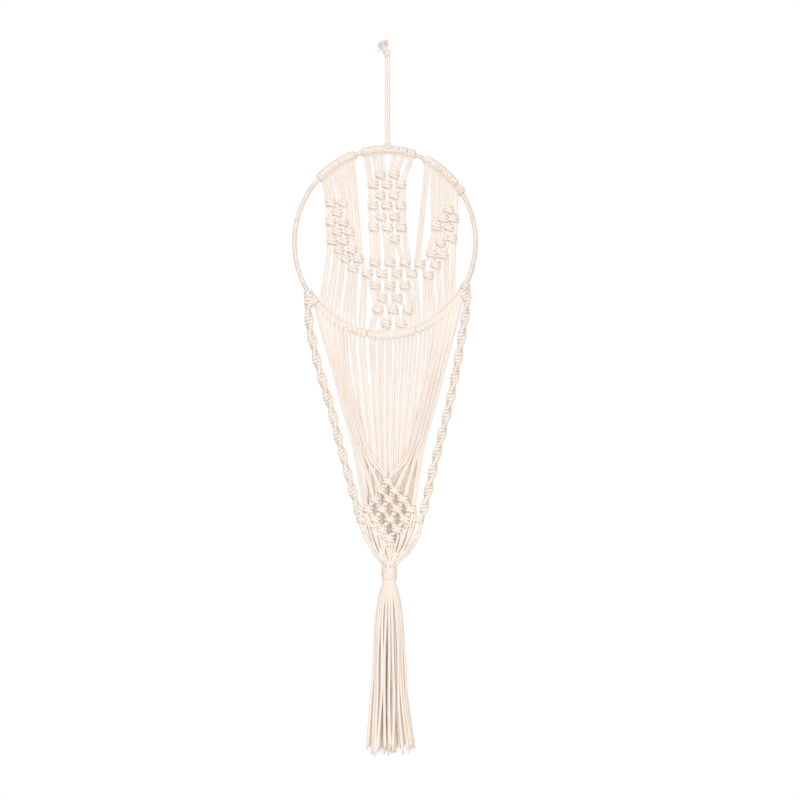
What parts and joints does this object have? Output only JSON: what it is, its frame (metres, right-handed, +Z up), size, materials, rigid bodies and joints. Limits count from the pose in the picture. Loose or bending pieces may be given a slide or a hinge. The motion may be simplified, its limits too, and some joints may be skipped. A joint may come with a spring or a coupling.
{
  "type": "dream catcher",
  "caption": "Macrame dream catcher: a round hoop on a hanging cord with a knotted cord net inside it, a draped net and two spiral sinnets below, drawn into a wrapped tassel.",
  "frame": {"origin": "the hanging point, between the two hanger cords directly under the hanging knot", "axes": "+Z up along the hanging cord, -Y out of the front face, +X to the viewer's right"},
  "size_m": [0.2522, 0.0562, 0.9645],
  "materials": {
    "cotton": "matte twisted cotton",
    "hoop_wood": "smooth pale wood"
  },
  "bodies": {
    "hanging_point": {"hanging_knot": "cotton", "frayed_ends": "cotton"},
    "hanger": {"hanger_cord_left": "cotton", "hanger_cord_right": "cotton"},
    "hoop_and_net": {"hoop": "hoop_wood", "hanger_hitch": "cotton", "larks_heads_left": "cotton", "larks_heads_centre": "cotton", "larks_heads_right": "cotton", "left_panel_cords": "cotton", "centre_panel_cords": "cotton", "right_panel_cords": "cotton", "left_panel_knots": "cotton", "centre_panel_knots": "cotton", "right_panel_knots": "cotton", "joined_net_knots": "cotton", "rim_hitches": "cotton", "sinnet_mounting_knots": "cotton"},
    "drape": {"back_curtain_cords": "cotton", "front_cords_left": "cotton", "front_cords_right": "cotton", "front_net_knots": "cotton", "left_sinnet_cores": "cotton", "right_sinnet_cores": "cotton", "left_sinnet_knots": "cotton", "right_sinnet_knots": "cotton", "gathered_cords": "cotton"},
    "neck": {"gathering_wrap": "cotton", "neck_bundle": "cotton"},
    "tassel": {"tassel_head": "cotton", "tassel_strands_inner": "cotton", "tassel_strands_middle": "cotton", "tassel_strands_outer": "cotton"}
  },
  "joints": [
    {"name": "hanger_swing", "type": "hinge", "parent": "hanging_point", "child": "hanger", "pos_m": [0, 0, 0], "axis": [0, 1, 0], "range_deg": [-20, 20]},
    {"name": "hoop_turn", "type": "hinge", "parent": "hanger", "child": "hoop_and_net", "pos_m": [0, 0, -0.119], "axis": [0, 0, 1], "range_deg": [-90, 90]},
    {"name": "drape_swing", "type": "hinge", "parent": "hoop_and_net", "child": "drape", "pos_m": [0, 0, -0.3855], "axis": [1, 0, 0], "range_deg": [-15, 15]},
    {"name": "neck_sway", "type": "hinge", "parent": "drape", "child": "neck", "pos_m": [0.0023, 0, -0.693], "axis": [0, 1, 0], "range_deg": [-20, 20]},
    {"name": "tassel_swing", "type": "hinge", "parent": "neck", "child": "tassel", "pos_m": [0.0023, 0, -0.721], "axis": [1, 0, 0], "range_deg": [-30, 30]}
  ]
}
